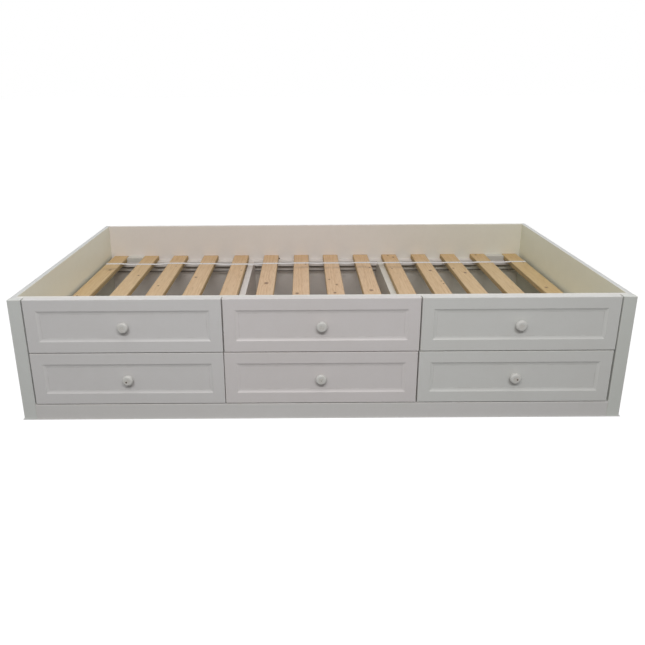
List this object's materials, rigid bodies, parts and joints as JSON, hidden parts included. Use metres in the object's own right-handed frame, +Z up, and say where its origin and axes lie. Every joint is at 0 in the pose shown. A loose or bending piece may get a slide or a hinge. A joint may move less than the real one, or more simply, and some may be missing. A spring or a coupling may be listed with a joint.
{
  "type": "storage bed frame",
  "caption": "Painted captain's bed frame with a deep mattress well on pine slats and, under false fronts, drawers on runners along one side.",
  "frame": {"origin": "on the floor, in the middle of the outer box, knobs included", "axes": "+X along the bed, -Y towards the drawer side, +Z up"},
  "size_m": [1.956, 1.0898, 0.414],
  "materials": {
    "white_paint": "satin off-white paint on board, eased edges slightly rubbed",
    "knob_paint": "semi-gloss off-white paint on turned wood",
    "pine": "planed bare pine with small knots",
    "birch_ply": "clear-lacquered birch plywood",
    "webbing": "white woven polyester tape",
    "zinc_steel": "bright zinc-plated sheet steel"
  },
  "bodies": {
    "bed": {"end_panel_left": "white_paint", "end_panel_right": "white_paint", "rear_panel": "white_paint", "front_rail": "white_paint", "stile_left": "white_paint", "stile_right": "white_paint", "plinth_rail": "white_paint", "divider_left": "white_paint", "divider_right": "white_paint", "ledge_rear": "white_paint", "ledge_front": "white_paint", "slat_stops": "white_paint", "runner_packers": "pine", "cabinet_runners": "zinc_steel", "slat_tape_rear": "webbing", "slat_tape_front": "webbing", "slat_01": "pine", "slat_02": "pine", "slat_03": "pine", "slat_04": "pine", "slat_05": "pine", "slat_06": "pine", "slat_07": "pine", "slat_08": "pine", "slat_09": "pine", "slat_10": "pine", "slat_11": "pine", "slat_12": "pine", "slat_13": "pine", "slat_14": "pine", "false_front_left": "white_paint", "false_knob_left": "knob_paint", "false_front_centre": "white_paint", "false_knob_centre": "knob_paint", "false_front_right": "white_paint", "false_knob_right": "knob_paint"},
    "drawer_left": {"drawer_front_left": "white_paint", "drawer_knob_left": "knob_paint", "drawer_side_l_left": "birch_ply", "drawer_side_r_left": "birch_ply", "drawer_subfront_left": "birch_ply", "drawer_back_left": "birch_ply", "drawer_bottom_left": "birch_ply", "drawer_runners_left": "zinc_steel"},
    "drawer_centre": {"drawer_front_centre": "white_paint", "drawer_knob_centre": "knob_paint", "drawer_side_l_centre": "birch_ply", "drawer_side_r_centre": "birch_ply", "drawer_subfront_centre": "birch_ply", "drawer_back_centre": "birch_ply", "drawer_bottom_centre": "birch_ply", "drawer_runners_centre": "zinc_steel"},
    "drawer_right": {"drawer_front_right": "white_paint", "drawer_knob_right": "knob_paint", "drawer_side_l_right": "birch_ply", "drawer_side_r_right": "birch_ply", "drawer_subfront_right": "birch_ply", "drawer_back_right": "birch_ply", "drawer_bottom_right": "birch_ply", "drawer_runners_right": "zinc_steel"}
  },
  "joints": [
    {"name": "drawer_left_slide", "type": "slide", "parent": "bed", "child": "drawer_left", "axis": [0, -1, 0], "range_m": [0, 0.38]},
    {"name": "drawer_centre_slide", "type": "slide", "parent": "bed", "child": "drawer_centre", "axis": [0, -1, 0], "range_m": [0, 0.38]},
    {"name": "drawer_right_slide", "type": "slide", "parent": "bed", "child": "drawer_right", "axis": [0, -1, 0], "range_m": [0, 0.38]}
  ]
}
